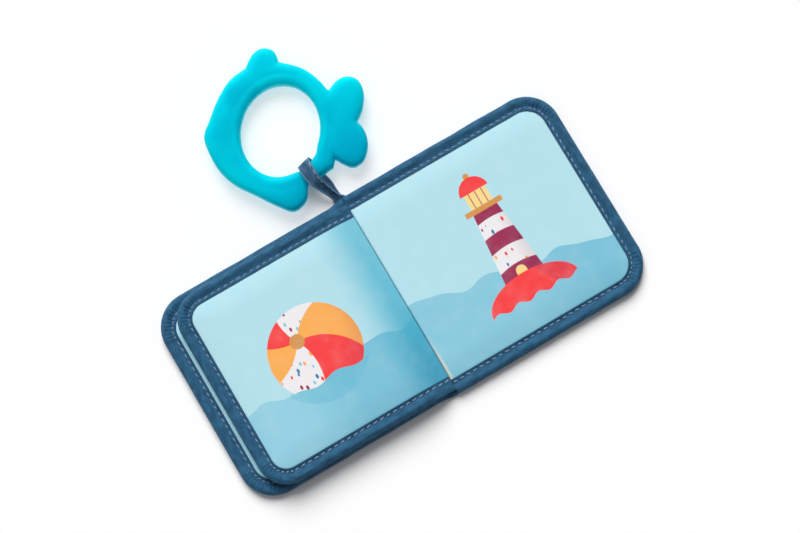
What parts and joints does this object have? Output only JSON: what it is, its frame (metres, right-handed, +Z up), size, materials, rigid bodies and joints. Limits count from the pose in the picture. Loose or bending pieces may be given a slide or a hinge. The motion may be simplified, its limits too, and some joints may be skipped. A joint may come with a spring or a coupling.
{
  "type": "bath book",
  "caption": "Padded fabric bath book, bound with tape, with a folding front cover, a turning middle leaf and a fish-shaped teething ring on a looped strap",
  "frame": {"origin": "underside of the spine, halfway along the fold between the pages, on the surface that the open book lies on", "axes": "+X from the fold over the right-hand page, +Y along the fold to the head where the strap is sewn in, +Z up out of the open pages"},
  "size_m": [0.2773, 0.2435, 0.0144],
  "materials": {
    "printed_panel": "matte printed cloth",
    "cover_cloth": "matte printed cloth",
    "foam": "open-cell foam",
    "tape": "woven tape",
    "ring": "satin moulded silicone"
  },
  "bodies": {
    "back_cover": {"back_cover_outer_panel": "cover_cloth", "back_cover_foam": "foam", "back_cover_inner_panel": "printed_panel", "back_cover_binding": "tape", "spine_cloth": "cover_cloth", "spine_lining": "printed_panel", "spine_head_binding": "tape", "spine_tail_binding": "tape"},
    "front_cover": {"front_cover_outer_panel": "cover_cloth", "front_cover_foam": "foam", "front_cover_inner_panel": "printed_panel", "front_cover_binding": "tape"},
    "middle_leaf": {"middle_leaf_lower_panel": "printed_panel", "middle_leaf_foam": "foam", "middle_leaf_upper_panel": "printed_panel", "middle_leaf_binding": "tape"},
    "strap": {"strap": "tape"},
    "teether": {"teether_ring": "ring"}
  },
  "joints": [
    {"name": "front_cover_fold", "type": "hinge", "parent": "back_cover", "child": "front_cover", "pos_m": [0, 0, 0.0108], "axis": [0, 1, 0], "range_deg": [0, 180]},
    {"name": "leaf_turn", "type": "hinge", "parent": "front_cover", "child": "middle_leaf", "pos_m": [0, 0, 0.0108], "axis": [0, -1, 0], "range_deg": [-180, 0]},
    {"name": "strap_flap", "type": "hinge", "parent": "back_cover", "child": "strap", "pos_m": [-0.0025, 0.0703, 0.0046], "axis": [1, 0, 0], "range_deg": [-60, 60], "deforming": ["strap"]},
    {"name": "ring_tip", "type": "hinge", "parent": "strap", "child": "teether", "pos_m": [-0.00611, 0.09182, 0.0073], "axis": [0.9874, 0.1581, 0], "range_deg": [-45, 80]}
  ]
}
